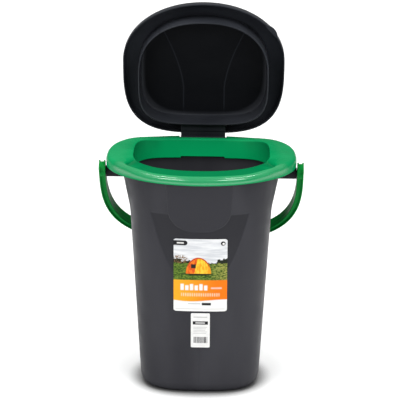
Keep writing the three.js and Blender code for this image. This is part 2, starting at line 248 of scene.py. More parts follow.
def rounded_block(name, low, high, radius):
    """A box with every edge rounded, for cutting and joining."""
    work = bmesh.new()
    bmesh.ops.create_cube(work, size=1)
    size = np.array(high) - np.array(low)
    middle = (np.array(high) + np.array(low)) / 2
    for vertex in work.verts:
        vertex.co = Vector((np.array(vertex.co) * size + middle) * MM)
    bmesh.ops.bevel(
        work, geom=list(work.edges), offset=radius * MM, segments=BEVEL_STEPS,
        affect="EDGES", profile=0.5,
    )
    mesh = bpy.data.meshes.new(name)
    work.to_mesh(mesh)
    work.free()
    piece = bpy.data.objects.new(name, mesh)
    bpy.context.scene.collection.objects.link(piece)
    for polygon in mesh.polygons:
        polygon.use_smooth = True
    return piece


def join(name, pieces):
    """One object from several, each still a closed body of its own."""
    work = bmesh.new()
    for piece in pieces:
        work.from_mesh(piece.data)
    mesh = bpy.data.meshes.new(name)
    work.to_mesh(mesh)
    work.free()
    for piece in pieces:
        bpy.data.objects.remove(piece)
    joined = bpy.data.objects.new(name, mesh)
    bpy.context.scene.collection.objects.link(joined)
    for polygon in mesh.polygons:
        polygon.use_smooth = True
    return joined


def store(piece, name, measure):
    """Keeps a number per vertex, measured from its place in millimetres, for the material."""
    places = np.array([vertex.co for vertex in piece.data.vertices]) / MM
    values = measure(*places.T).astype(np.float32)
    attribute = piece.data.attributes.new(name, "FLOAT", "POINT")
    attribute.data.foreach_set("value", values)


def rings_from_lines(lines):
    """Turns one line of points per angle into one ring per line position."""
    return np.array(lines).transpose(1, 0, 2)


# ------------------------------------------------------------------ tub
TUB_WALL = 3
TUB_FLOOR = 4
TONGUE_RISE = 1.6
TONGUE_BEND = 388
TONGUE_FOOT = 335
TONGUE_HALF_WIDTH = 60
TONGUE_SPREAD = 0.06
SHIELD_SINK = 1.2
SHIELD_SHOULDER = 369
SHIELD_HALF_WIDTH = 92
SHIELD_HEIGHT = 146
EAR_RADIUS = 11
EAR_BORE = 6.3
EAR_OUTER_X = TUB_HIGH.x
EAR_ROOT_X = 146
WAIST_SOFTNESS = 6


def tub_outline(z):
    """The tub's plan at a height."""
    if z < WAIST_Z:
        return TUB_BASE.toward(TUB_WAIST, z / WAIST_Z)
    return TUB_WAIST.toward(TUB_RIM, (z - WAIST_Z) / (RIM_Z - WAIST_Z))


def blended_tub_points(z, angles, inset):
    """The tub's outline with the waist's bend softened over a short height."""
    span = WAIST_SOFTNESS
    near, far = tub_outline(z - span), tub_outline(min(z + span, RIM_Z + span))
    if abs(z - WAIST_Z) < 2 * span:
        return (near.points(angles, inset) + far.points(angles, inset)) / 2
    return tub_outline(z).points(angles, inset)


def tongue_mask(x, z):
    """1 on the raised tongue that hangs from the rim on the front."""
    half_width = TONGUE_HALF_WIDTH + TONGUE_SPREAD * np.maximum(0, z - TONGUE_BEND)
    drop = np.maximum(0, TONGUE_BEND - z) / (TONGUE_BEND - TONGUE_FOOT)
    reach = ((np.abs(x) / half_width) ** 2.5 + drop ** 2.5) ** 0.4
    return smoothstep((1 - reach) * TONGUE_HALF_WIDTH, -1.5, 2.5)


def shield_mask(x, z):
    """1 on the sunk shield panel, fading towards its foot."""
    fall = np.clip((SHIELD_SHOULDER - z) / SHIELD_HEIGHT, 0, 1)
    half_width = SHIELD_HALF_WIDTH * (1 - fall) ** 0.4
    edge = np.minimum(SHIELD_SHOULDER - z, 0.9 * (half_width - np.abs(x)))
    return smoothstep(edge, -1.2, 1.2) * (1 - 0.5 * fall)


def make_tub():
    """The tapered bucket with its front relief, beaded rim, foot and side bosses."""
    front = (math.radians(212), math.radians(328))
    angles = round_angles(300, *front, dense_share=0.58)
    count = len(angles)

    def ring(z, inset, height=None):
        points = blended_tub_points(z, angles, inset)
        height = z if height is None else height
        return np.column_stack([points, np.full(count, height)])

    rings = []
    foot = fillet(
        [(60, 2), (20, 2), (17, 0), (10, 0), (3.4, 6.4), (3.9, 7.4), (2.1, 8.6), (0, 18)],
        [0, 1, 1, 6, 0.5, 0.5, 1.2, 0], 4,
    )
    for inset, height in foot:
        rings.append(ring(max(height, 0), inset))
    for z in np.arange(20, RIM_Z - 8, 2.0):
        plain = ring(z, 0)
        x, y = plain[:, 0], plain[:, 1]
        facing = smoothstep(-y, 20, 50)
        relief = TONGUE_RISE * tongue_mask(x, z)
        relief = relief - SHIELD_SINK * shield_mask(x, z) * (1 - tongue_mask(x, z))
        points = blended_tub_points(z, angles, -relief * facing)
        rings.append(np.column_stack([points, np.full(count, z)]))
    bead = fillet(
        [(0, RIM_Z - 8), (0, RIM_Z - 7), (-2.5, RIM_Z - 6.5), (-2.5, RIM_Z), (TUB_WALL, RIM_Z),
         (TUB_WALL, RIM_Z - 12)],
        [0, 0.4, 0.8, 1.2, 1.2, 0], 3,
    )
    for inset, height in bead[1:]:
        rings.append(ring(height, inset))
    for z in np.arange(RIM_Z - 20, 20, -9.0):
        rings.append(ring(z, TUB_WALL))
    inner_foot = fillet(
        [(TUB_WALL, 20), (TUB_WALL + 1.5, TUB_FLOOR), (70, TUB_FLOOR)], [0, 9, 0], 6,
    )
    for inset, height in inner_foot:
        rings.append(ring(height, inset))
    body = skin("tub_shell", rings)
    ears = [make_ear(side) for side in (-1, 1)]
    moulding = join("tub_moulding", [body, *ears])
    # Painted shade: the sunk shield is darkened as the shade in its recess; its extra gloss is a
    # smoother finish.
    store(moulding, "panel", shield_shade_and_gloss_mask)
    store(moulding, "tongue", lambda x, y, z: (y < 0) * tongue_mask(x, z))
    # Painted shade: the side bosses are darkened and lose most of their specular, as in the seat's
    # shadow.
    store(moulding, "ear", ear_shade_mask)
    return moulding


def shield_shade_and_gloss_mask(x, y, z):
    """1 on the shield panel where the tongue leaves it bare: painted shade, and more gloss."""
    return (y < 0) * shield_mask(x, z) * (1 - tongue_mask(x, z))


def ear_shade_mask(x, y, z):
    """1 on the side bosses, below the rim's bead: painted shade, as in the seat's shadow."""
    return smoothstep(np.abs(x), 150, 158) * (z < RIM_Z - 12)


def make_ear(side):
    """The pierced boss that carries a stud."""
    corners = [
        (EAR_ROOT_X, EAR_BORE), (EAR_ROOT_X, EAR_RADIUS),
        (EAR_OUTER_X, EAR_RADIUS), (EAR_OUTER_X, EAR_BORE),
    ]
    profile = fillet(corners, [0, 0, 1, 0.6], 3)
    return tube_along_x("ear", profile * (side, 1), 0, PIVOT_Z)


# ------------------------------------------------------------------ seat ring
SEAT_UNDERSIDE = RIM_Z + 0.3
SEAT_LIP_TOP = SEAT_HIGH.z - 0.5
SEAT_SIDE_TOP = SEAT_HIGH.z
SEAT_BACK_TOP = 450
SEAT_CREASE_TOP = 448
SEAT_RIM_FOOT = 433
SPLASH_FOOT = SEAT_LOW.z
SEAT_WALL = 3
NOTCH_HALF_WIDTH = 46
NOTCH_FRONT = 124
PIN_BORE = 2.8
PIN_END_GAP = 0.3
FRONT_DEGREES = 270  # the angle of -Y


def seat_line(angle):
    """The seat's closed section at one angle round the opening."""
    inner = OPENING_OUTLINE.points(np.array([angle]))[0]
    outer = SEAT_OUTLINE.points(np.array([angle]))[0]
    width = np.linalg.norm(outer - inner)
    outward = (outer - inner) / width
    from_front = abs(math.degrees(angle) - FRONT_DEGREES)
    from_front = min(from_front, 360 - from_front)
    frontness = 1 - smoothstep(from_front, 34, 66)
    backness = smoothstep(from_front, 122, 148)
    # The collar is the land between the opening and the crease: it widens towards the
    # front corners and all but vanishes along the sides.
    collar = 21.5 + 10 * smoothstep(from_front, 42, 60) - 28 * smoothstep(from_front, 60, 73)
    collar += 8 * backness
    wing_top = SEAT_SIDE_TOP + (SEAT_CREASE_TOP + 1.6 - SEAT_SIDE_TOP) * frontness
    wing_top += (SEAT_BACK_TOP - wing_top) * backness
    lip_top = SEAT_LIP_TOP - 0.6 * (1 - frontness)
    lip_top += (SEAT_BACK_TOP - lip_top) * backness
    corner = smoothstep(from_front, 44, 60) * (1 - smoothstep(from_front, 60, 76))
    crease_top = SEAT_CREASE_TOP + 3 * corner
    crease_top += (SEAT_SIDE_TOP - 0.9 - crease_top) * smoothstep(from_front, 60, 78)
    crease_top += (SEAT_BACK_TOP - crease_top) * backness
    roll_high = 11 + 1.5 * frontness - 7 * backness
    roll_wide = min(9 - 5 * backness, 0.8 * (width - collar))
    crown = collar + 0.45 * (width - roll_wide - collar)
    corners = [
        (0, SPLASH_FOOT, 1.2),
        (0, lip_top, 3.5 + backness),
        (collar, crease_top, 1.6),
        (crown, wing_top, 6),
    ]
    for turn in np.linspace(0, math.pi / 2, 9):
        arc_q = width - roll_wide * (1 - math.sin(turn))
        corners.append((arc_q, wing_top - roll_high * (1 - math.cos(turn)), 0))
    corners += [
        (width - 0.4, SEAT_RIM_FOOT, 1.3),
        (width - 3.6, SEAT_RIM_FOOT, 1.3),
        (width - 4.2, SEAT_UNDERSIDE, 3),
        (4.5, SEAT_UNDERSIDE, 2),
        (SEAT_WALL, SPLASH_FOOT, 1.2),
    ]
    section = [(q, z) for q, z, _ in corners]
    line = fillet(section, [radius for _, _, radius in corners], 6, closed=True)
    points = inner + outward * line[:, :1]
    return np.column_stack([points, line[:, 1]])


def roll_mask(x, y, z):
    """1 on the polished roll of the front lip."""
    reach = np.hypot(x / SEAT_OUTLINE.values[0], y / SEAT_OUTLINE.values[1])
    return smoothstep(reach, 0.93, 0.97) * smoothstep(-y, 50, 80) * (z > SEAT_RIM_FOOT + 2)


def facet_shade_mask(x, y, z):
    """1 on the sloping front of the deck, between the opening and the lip's crown: painted shade.
    """
    outer = np.hypot(x / SEAT_OUTLINE.values[0], y / SEAT_OUTLINE.values[1])
    front = smoothstep(-y, 22, 50) * smoothstep(132.8 - 0.09 * y - np.abs(x), -2.5, 2.5)
    return smoothstep(0.945 - outer, -0.01, 0.02) * front * (z > SEAT_CREASE_TOP - 6)


def splash_light_mask(x, y, z):
    """1 on the splash wall behind the opening, where the material paints light."""
    width, _, back, _, power = OPENING_OUTLINE.values
    reach = np.abs(x / width) ** power + np.abs((y - OPENING_OUTLINE.centre) / back) ** power
    return smoothstep(-reach, -1.1, -1.04) * (y > 40) * smoothstep(SEAT_BACK_TOP - 3 - z, 0, 3)


def make_seat():
    """The seat ring, notched for the lid's hinge, with two lugs bored for the pin."""
    angles = round_angles(384)
    body = skin("seat_shell", rings_from_lines([seat_line(a) for a in angles]), looped=True)
    notch = rounded_block(
        "notch", (-NOTCH_HALF_WIDTH, NOTCH_FRONT, 425), (NOTCH_HALF_WIDTH, 165, 470), 2,
    )
    cut(body, notch)
    step = rounded_block("step", (-43, 99, 405), (43, 121, SPLASH_FOOT + 3.6), 1.5)
    cut(body, step)
    lugs = [
        rounded_block(
            "lug",
            (min(side * 46.2, side * 56), HINGE_Y - 6.5, HINGE_Z - 6),
            (max(side * 46.2, side * 56), HINGE_Y + 4, SEAT_BACK_TOP - 1),
            1.5,
        )
        for side in (-1, 1)
    ]
    pocket = rounded_block(
        "pocket",
        (-55.5, HINGE_Y - 5, HINGE_Z - 5.5),
        (55.5, HINGE_Y + 3.4, SEAT_BACK_TOP - 1.6),
        1,
    )
    cut(body, pocket)
    for lug in lugs:
        bore_ends = PIN_LOW.x - PIN_END_GAP, PIN_HIGH.x + PIN_END_GAP
        cut(lug, rod_along_x("bore", PIN_BORE, *bore_ends, HINGE_Y, HINGE_Z, 0.5))
    seat = join("seat_moulding", [body, *lugs])
    sharpen(seat, 38)
    store(seat, "roll", roll_mask)
    # Painted shade: the sloping front of the deck is darkened as if it faced away from the light.
    store(seat, "facet_shade", facet_shade_mask)
    # Painted light: the splash wall is lightened as if brightly lit.
    store(seat, "splash", splash_light_mask)
    return seat


# ------------------------------------------------------------------ lid
LID_RIM_Y = HINGE_Y + 11.5
DOME_TOP = LID_HIGH.y - LID_RIM_Y
DOME_WALL = 2.5
DOME_RUN = 52
RIM_BAND = 20
SKIRT_DROP = LID_RIM_Y - LID_LOW.y
SKIRT_WALL = 2.5
BARREL_RADIUS = 6
BARREL_HALF = 43.5
PANEL_STEP = 0.9
# The panel's half width grows from PANEL_WAIST by PANEL_FLARE over a run above the hinge.
PANEL_WAIST = 40
PANEL_FLARE = 36
PANEL_FLARE_START = 88
PANEL_FLARE_RUN = 110
PANEL_FLARE_POWER = 1.6
TAB_ANGLE = 0.43


def dome_depth(inset):
    """How far behind the rim the dome stands at a distance in from its edge."""
    run = np.minimum(inset / DOME_RUN, 1)
    return RIM_BAND + (DOME_TOP - RIM_BAND) * np.sin(math.pi / 2 * run) ** 0.75


def panel_mask(x, w):
    """The tulip-shaped middle of the dome, which stands out by a small step."""
    rise = np.maximum(0, w - PANEL_FLARE_START) / PANEL_FLARE_RUN
    half_width = PANEL_WAIST + PANEL_FLARE * rise ** PANEL_FLARE_POWER
    return smoothstep(half_width - np.abs(x), -1.6, 1.6) * smoothstep(w, 20, 34)


def hinge_slope(w):
    """How far the dome comes down towards the hinge."""
    return 3 * (1 - smoothstep(w, 34, 86))


def lid_shape(ring):
    """Adds the panel's step and the slope to a ring of (x, depth, w) on the dome."""
    x, depth, w = ring.T
    high = smoothstep(depth, DOME_TOP - 14, DOME_TOP - 3)
    shaped = depth - (hinge_slope(w) + PANEL_STEP * (1 - panel_mask(x, w))) * high
    return np.column_stack([x, shaped, w])


def bowl_shade_mask(x, y, z):
    """1 inside the dome, within the skirt: painted shade, darker and less shiny than the rim."""
    half_width, front, back, _, _ = SKIRT_OUTLINE.values
    up = z - HINGE_Z - SKIRT_OUTLINE.centre
    depth = np.where(up > 0, back, front)
    reach = ((np.abs(x) / half_width) ** 3 + (np.abs(up) / depth) ** 3) ** (1 / 3)
    inner = (y - LID_RIM_Y > 4) & (y - LID_RIM_Y < DOME_TOP - DOME_WALL + 0.1)
    return smoothstep(0.965 - reach, 0, 0.05) * inner


def make_lid():
    """The domed lid with its skirt, hinge tongue and lift tab, standing open."""
    angles = round_angles(288)

    def ring(outline, inset, depth):
        points = outline.points(angles, inset)
        depths = np.full(len(angles), float(depth))
        return np.column_stack([points[:, 0], depths, points[:, 1]])

    floor = DOME_TOP - DOME_WALL
    rings = [ring(SKIRT_OUTLINE, inset, floor) for inset in np.arange(96, 10, -2.4)]
    cup = fillet(
        [(10, floor), (SKIRT_WALL + 0.6, floor - 1), (SKIRT_WALL, -SKIRT_DROP), (0, -SKIRT_DROP),
         (-0.8, dome_depth(33) - DOME_WALL)],
        [0, 6, 1.1, 1.1, 0], 5,
    )
    rings += [ring(SKIRT_OUTLINE, inset, depth) for inset, depth in cup[1:]]
    groove = [(inset, dome_depth(inset) - DOME_WALL) for inset in (23, 20, 16, 12, 8, 5)]
    rim = fillet(
        [groove[-1], (DOME_WALL + 0.4, RIM_BAND - 3), (DOME_WALL, 0), (0, 0), (0, RIM_BAND)],
        [0, 1, 1.1, 1.1, 0], 4,
    )
    rings += [ring(LID_OUTLINE, inset, depth) for inset, depth in (*groove, *rim[1:])]
    rings += [ring(LID_OUTLINE, inset, dome_depth(inset)) for inset in (0.4, 1, 2, 3, 4.5, 6, 8)]
    rings += [ring(LID_OUTLINE, inset, dome_depth(inset)) for inset in np.arange(10.5, 112, 2.6)]
    placed = []
    for points in rings:
        x, depth, w = lid_shape(points).T
        placed.append(np.column_stack([x, LID_RIM_Y + depth, HINGE_Z + w]))
    shell = skin("lid_shell", placed)
    lid = join("lid_moulding", [shell, *hinge_tongue(), lift_tab()])
    sharpen(lid, 50)
    # Painted shade: the inside of the dome is darkened and loses most of its specular, so the rim,
    # channel and skirt stand lighter.
    store(lid, "bowl_shade", bowl_shade_mask)
    return lid


def hinge_tongue():
    """The plate, its web and the barrel that turns on the pin."""
    plate_front = HINGE_Y + BARREL_RADIUS - 1
    plate = rounded_block(
        "plate",
        (-BARREL_HALF, plate_front, HINGE_Z - 1),
        (BARREL_HALF, plate_front + 3, HINGE_Z + 27.5),
        1,
    )
    web = rounded_block(
        "web",
        (-BARREL_HALF, plate_front, HINGE_Z + 11.5),
        (BARREL_HALF, LID_RIM_Y + RIM_BAND + 2.5, HINGE_Z + 14.5),
        1,
    )
    corners = [
        (-BARREL_HALF, PIN_BORE), (-BARREL_HALF, BARREL_RADIUS),
        (BARREL_HALF, BARREL_RADIUS), (BARREL_HALF, PIN_BORE),
    ]
    profile = fillet(corners, [0.4, 1, 1, 0.4], 4, closed=True)
    barrel = tube_along_x("barrel", profile, HINGE_Y, HINGE_Z)
    return [plate, web, barrel]


def lift_tab():
    """The small finger tab near one of the lid's free corners."""
    edge, ahead = LID_OUTLINE.points(np.array([TAB_ANGLE, TAB_ANGLE + 0.05]), 3)
    along = (ahead - edge) / np.linalg.norm(ahead - edge)
    outward = np.array([along[1], -along[0]])
    half_width, length, thickness = 16, 7.6, 3
    sweep = np.linspace(-1, 1, 25)
    reach = length * (1 - sweep ** 2) ** 0.6
    outer = [edge + along * half_width * s + outward * r for s, r in zip(sweep, reach)]
    inner = [edge + along * half_width * s * 0.9 - outward * 1.5 for s in sweep[::-1]]
    flat = np.array(outer + inner)
    middle = flat.mean(axis=0)
    rings = []
    for depth, shrink in [(0.7, 0.93), (0, 0.97), (0, 1), (thickness, 1), (thickness, 0.96)]:
        points = middle + (flat - middle) * shrink
        depths = np.full(len(points), LID_RIM_Y + depth)
        rings.append(np.column_stack([points[:, 0], depths, HINGE_Z + points[:, 1]]))
    return skin("tab", rings)


def make_pin():
    """The hinge pin."""
    radius = (PIN_HIGH.z - PIN_LOW.z) / 2
    return rod_along_x("hinge_pin", radius, PIN_LOW.x, PIN_HIGH.x, HINGE_Y, HINGE_Z, 0.6)


# ------------------------------------------------------------------ bail
BAIL_THICKNESS = 12.5
BAIL_HALF_WIDTH = BAIL_HIGH.x - BAIL_THICKNESS / 2
BAIL_LENGTH = 206.5
BAIL_POWER = 2.9
BAIL_BREADTH = 22
BAIL_FLANGE = 2.8
BAIL_WEB = 15
BAIL_HEAD = 20
BAIL_REST_ANGLE = math.radians(36.2)
STUD_RADIUS = 6
STUD_INNER_X = 152  # just clear of the tub's wall
EYE_OVERHANG = 0.2
EYE_STEP = 0.4


def bail_section():
    """The I section, with rounded edges and two fine ridges on the inner face."""
    face, half = BAIL_THICKNESS / 2, BAIL_BREADTH / 2
    root, web = face - BAIL_FLANGE, BAIL_WEB / 2
    ridge, bump = 3.2, 0.45
    corners = [
        (-face, -half, 1), (-root, -half, 0.6), (-root, -web, 1), (root, -web, 1),
        (root, -half, 0.6), (face, -half, 1), (face, half, 1), (root, half, 0.6),
        (root, web, 1), (-root, web, 1), (-root, half, 0.6), (-face, half, 1),
        (-face, ridge + 1, 0.2), (-face + bump, ridge, 0.3), (-face, ridge - 1, 0.2),
        (-face, -ridge + 1, 0.2), (-face + bump, -ridge, 0.3), (-face, -ridge - 1, 0.2),
    ]
    return fillet([c[:2] for c in corners], [c[2] for c in corners], 3, closed=True)


def make_bail():
    """The bail, hanging at its rest angle, with an eye and a stud at each end."""
    path = Outline(BAIL_HALF_WIDTH, BAIL_LENGTH, BAIL_LENGTH, BAIL_POWER, BAIL_POWER)
    section = bail_section()
    down = np.array([0, math.sin(BAIL_REST_ANGLE), -math.cos(BAIL_REST_ANGLE)])
    front = np.array([0, -math.cos(BAIL_REST_ANGLE), -math.sin(BAIL_REST_ANGLE)])
    across = np.array([1, 0, 0])
    pivot = np.array([0, 0, PIVOT_Z])

    def ring(point, outward, shrink=1.0):
        u, v = section.T * shrink
        return (
            pivot
            + np.outer(point[0] + outward[0] * u, across)
            + np.outer(point[1] + outward[1] * u, down)
            + np.outer(v, front)
        )

    def head(side):
        x = side * BAIL_HALF_WIDTH
        ends = [(-BAIL_HEAD, 0.94), (-BAIL_HEAD + 0.8, 1), (-BAIL_HEAD / 2, 1)]
        return [ring((x, length), (side, 0), shrink) for length, shrink in ends]

    rings = head(1)
    for turn in np.linspace(0, math.pi, 161):
        near, here, far = path.points(np.array([turn - 0.01, turn, turn + 0.01]))
        tangent = (far - near) / np.linalg.norm(far - near)
        rings.append(ring(here, (tangent[1], -tangent[0])))
    rings += head(-1)[::-1]
    pieces = [skin("bail_bar", rings)]
    eye_inner = BAIL_HALF_WIDTH - BAIL_THICKNESS / 2 - EYE_OVERHANG
    eye_outer = BAIL_HALF_WIDTH + BAIL_THICKNESS / 2
    for side in (-1, 1):
        ends = sorted((side * eye_inner, side * (eye_outer - EYE_STEP)))
        pieces.append(rod_along_x("eye", EAR_RADIUS, *ends, 0, PIVOT_Z, 1.2))
        ends = sorted((side * STUD_INNER_X, side * (eye_inner + 2)))
        pieces.append(rod_along_x("stud", STUD_RADIUS, *ends, 0, PIVOT_Z, 1))
    return join("bail_moulding", pieces)


# ------------------------------------------------------------------ labels
LABEL_OFFSETS = (0.3, 0.66)  # the film's two faces, out from the tub's plain front


def make_label(name, low, high, corner):
    """A thin sheet with round corners that follows the tub's front."""
    centre, half_width = (high.x + low.x) / 2, (high.x - low.x) / 2
    bottom, top = low.z, high.z
    columns, rows = 72, 96
    xs = np.linspace(-1, 1, columns + 1)
    zs = np.linspace(0, 1, rows + 1)
    layers = []
    for offset in LABEL_OFFSETS:
        grid = []
        for t in zs:
            z = bottom + (top - bottom) * t
            from_end = min(z - bottom, top - z)
            trim = corner - math.sqrt(max(0, corner ** 2 - max(0, corner - from_end) ** 2))
            x = centre + xs * (half_width - trim)
            outline = tub_outline(z)
            width, depth, _, power, _ = outline.values
            ratio = (np.abs(x) / (width + offset)) ** power
            y = -(depth + offset) * (1 - ratio) ** (1 / power)
            grid.append(np.column_stack([x, y, np.full(len(x), z)]))
        layers.append(np.array(grid))
    points = np.concatenate([layer.reshape(-1, 3) for layer in layers])
    size = (columns + 1) * (rows + 1)

    def index(layer, row, column):
        return layer * size + row * (columns + 1) + column

    faces = []
    for i in range(rows):
        for j in range(columns):
            around = ((i, j), (i, j + 1), (i + 1, j + 1), (i + 1, j))
            faces.append(tuple(index(1, *corner) for corner in around))
            faces.append(tuple(index(0, *corner) for corner in around[::-1]))
    border = [(0, j) for j in range(columns)] + [(i, columns) for i in range(rows)]
    border += [(rows, j) for j in range(columns, 0, -1)] + [(i, 0) for i in range(rows, 0, -1)]
    for here, ahead in zip(border, border[1:] + border[:1]):
        faces.append((index(0, *here), index(0, *ahead), index(1, *ahead), index(1, *here)))
    label = mesh_object(name, points, faces)
    sharpen(label, 40)
    return label


# ------------------------------------------------------------------ materials
class Paint:
    """A material's node tree, with short ways to add nodes and wire them."""

    def __init__(self, name):
        self.material = bpy.data.materials.new(name)
        self.material.use_nodes = True
        self.tree = self.material.node_tree
        self.shader = self.tree.nodes["Principled BSDF"]
        self.place = self.tree.nodes.new("ShaderNodeTexCoord").outputs["Object"]

    def node(self, kind, feeds=(), **settings):
        """A node with its settings; feeds gives its inputs by number or name."""
        made = self.tree.nodes.new("ShaderNode" + kind)
        for key, value in settings.items():
            setattr(made, key, value)
        for key, value in dict(feeds).items():
            self.wire(made.inputs[key], value)
        return made

    def wire(self, socket, value):
        if isinstance(value, bpy.types.NodeSocket):
            self.tree.links.new(value, socket)
        else:
            socket.default_value = value

    def math(self, operation, a, b=0.0, c=0.0):
        return self.node("Math", {0: a, 1: b, 2: c}, operation=operation).outputs[0]

    def noise(self, scale, detail=2.0, stretch=(1, 1, 1)):
        """Noise over the piece; scale is in cycles per metre."""
        place = self.node("Mapping", {"Vector": self.place, "Scale": stretch}).outputs[0]
        feeds = {"Vector": place, "Scale": scale, "Detail": detail}
        return self.node("TexNoise", feeds).outputs["Fac"]

    def ramp(self, value, low, high, to_low=0.0, to_high=1.0):
        """A smooth ramp from to_low to to_high while the value goes from low to high."""
        feeds = {"Value": value, "From Min": low, "From Max": high}
        feeds.update({"To Min": to_low, "To Max": to_high})
        return self.node("MapRange", feeds, interpolation_type="SMOOTHSTEP").outputs[0]

    def blend(self, share, a, b):
        """Colour a, turning into colour b as the share goes to 1."""
        made = self.node("Mix", {0: share}, data_type="RGBA")
        for socket, colour in ((made.inputs[6], a), (made.inputs[7], b)):
            is_colour = isinstance(colour, bpy.types.NodeSocket)
            self.wire(socket, colour if is_colour else (*colour, 1.0))
        return made.outputs[2]

    def bump(self, height, distance, strength=1.0, below=None):
        """A bump whose height runs from 0 to 1 over a distance in metres."""
        feeds = {"Height": height, "Distance": distance, "Strength": strength}
        if below is not None:
            feeds["Normal"] = below
        return self.node("Bump", feeds).outputs[0]


def moulded_plastic(name, colour, roughness, grain=0.3, specular=0.5, wear=0.25, masks=()):
    """Injection-moulded plastic: a fine grain, faint flow marks, scuffs, worn edges and a
    painted shade in its creases.

    masks lists stored attributes or functions that draw on the paint, each with its
    share of the colour, its extra gloss and the share of the specular it keeps; some of
    them paint shade or light into the colour.
    """
    paint = Paint(name)
    lighter = tuple(min(1, 1.14 * c + 0.006) for c in colour)
    darker = tuple(0.88 * c for c in colour)
    scuffed = tuple(min(1, 1.25 * c + 0.03) for c in colour)
    flow = paint.noise(9, 3, (1, 1, 0.35))
    tone = paint.blend(paint.ramp(flow, 0.3, 0.7), darker, lighter)
    speckle = paint.noise(900, 1)
    tone = paint.blend(paint.ramp(speckle, 0.62, 0.8, 0, 0.25), tone, scuffed)
    scratches = paint.noise(160, 4, (1, 1, 9))
    marks = paint.ramp(scratches, 0.66, 0.72, 0, wear)
    patches = paint.ramp(paint.noise(22, 2), 0.48, 0.66)
    marks = paint.math("MULTIPLY", marks, patches)
    tone = paint.blend(marks, tone, scuffed)
    point = paint.node("NewGeometry").outputs["Pointiness"]
    edges = paint.ramp(point, 0.53, 0.62, 0, wear * 1.6)
    tone = paint.blend(edges, tone, scuffed)
    # Painted shade: concave creases are darkened towards half the colour, as the shade that falls
    # in them.
    crease_shade = paint.ramp(point, 0.40, 0.48, 0.2, 0)
    tone = paint.blend(crease_shade, tone, tuple(0.5 * c for c in colour))
    matt = paint.ramp(paint.noise(35, 3), 0.3, 0.7, roughness - 0.05, roughness + 0.06)
    matt = paint.math("ADD", matt, paint.math("MULTIPLY", marks, 0.5))
    shine = specular
    for mask, shade, gloss, kept in masks:
        if callable(mask):
            share = mask(paint)
        else:
            share = paint.node("Attribute", attribute_name=mask).outputs["Fac"]
        tone = paint.blend(share, tone, tuple(shade * c for c in colour))
        matt = paint.math("SUBTRACT", matt, paint.math("MULTIPLY", share, gloss))
        if kept != 1:
            shine = paint.ramp(share, 0, 1, specular, specular * kept)
    fine = paint.bump(paint.noise(1500, 2), 0.00006, grain)
    wavy = paint.bump(paint.noise(14, 1), 0.0012, 0.2, below=fine)
    paint.wire(paint.shader.inputs["Base Color"], tone)
    paint.wire(paint.shader.inputs["Roughness"], matt)
    paint.wire(paint.shader.inputs["Normal"], wavy)
    paint.wire(paint.shader.inputs["Specular IOR Level"], shine)
    return paint.material


def panel_step_shade(paint):
    """A fine line of painted shade along both edges of the lid's middle panel, at its step."""
    split = paint.node("SeparateXYZ", {0: paint.place}).outputs
    w = paint.math("SUBTRACT", paint.math("DIVIDE", split["Z"], MM), HINGE_Z)
    rise = paint.math("MAXIMUM", paint.math("SUBTRACT", w, PANEL_FLARE_START), 0)
    rise = paint.math("DIVIDE", rise, PANEL_FLARE_RUN)
    flare = paint.math("MULTIPLY", paint.math("POWER", rise, PANEL_FLARE_POWER), PANEL_FLARE)
    half_width = paint.math("ADD", flare, PANEL_WAIST)
    x = paint.math("DIVIDE", paint.math("ABSOLUTE", split["X"]), MM)
    off = paint.math("ABSOLUTE", paint.math("SUBTRACT", x, half_width))
    line = paint.ramp(off, 0.4, 1.9, 1, 0)
    inside = paint.math("MULTIPLY", paint.ramp(w, 40, 60), paint.ramp(w, 214, 222, 1, 0))
    return paint.math("MULTIPLY", line, inside)


def printed_film(name, low, high, draw):
    """A printed label. draw gets the paint and the place across and down, both 0 to 1."""
    paint = Paint(name)
    split = paint.node("SeparateXYZ", {0: paint.place}).outputs
    feeds = {"Value": split["X"], "From Min": low.x * MM, "From Max": high.x * MM}
    across = paint.node("MapRange", feeds).outputs[0]
    feeds = {"Value": split["Z"], "From Min": high.z * MM, "From Max": low.z * MM}
    down = paint.node("MapRange", feeds).outputs[0]
    colour = draw(paint, across, down)
    matt = paint.ramp(paint.noise(60, 3), 0.3, 0.7, 0.3, 0.42)
    wrinkle = paint.bump(paint.noise(38, 2), 0.0006, 0.3)
    fibre = paint.bump(paint.noise(2500, 1), 0.00002, 0.3, below=wrinkle)
    colour = paint.blend(PRINT_DULLNESS, colour, (0, 0, 0))
    paint.wire(paint.shader.inputs["Base Color"], colour)
    paint.wire(paint.shader.inputs["Roughness"], matt)
    paint.wire(paint.shader.inputs["Normal"], fibre)
    paint.shader.inputs["Specular IOR Level"].default_value = 0.1
    return paint.material


def between(paint, value, low, high, soft=0.006):
    """1 where a value lies between two others, which may be sockets."""
    after = paint.ramp(paint.math("SUBTRACT", value, low), -soft, soft)
    before = paint.ramp(paint.math("SUBTRACT", high, value), -soft, soft)
    return paint.math("MULTIPLY", after, before)


def patch(paint, across, down, left, top, right, bottom, soft=0.006):
    """1 inside a rectangle."""
    wide = between(paint, across, left, right, soft)
    high = between(paint, down, top, bottom, soft)
    return paint.math("MULTIPLY", wide, high)


def spot(paint, across, down, x, y, radius_x, radius_y, soft=0.1):
    """1 inside an ellipse."""
    dx = paint.math("DIVIDE", paint.math("SUBTRACT", across, x), radius_x)
    dy = paint.math("DIVIDE", paint.math("SUBTRACT", down, y), radius_y)
    reach = paint.math("ADD", paint.math("MULTIPLY", dx, dx), paint.math("MULTIPLY", dy, dy))
    return paint.ramp(reach, 1 + soft, 1 - soft)


PRINT_DULLNESS = 0.15
WHITE = (0.86, 0.86, 0.84)
INK = (0.012, 0.012, 0.014)


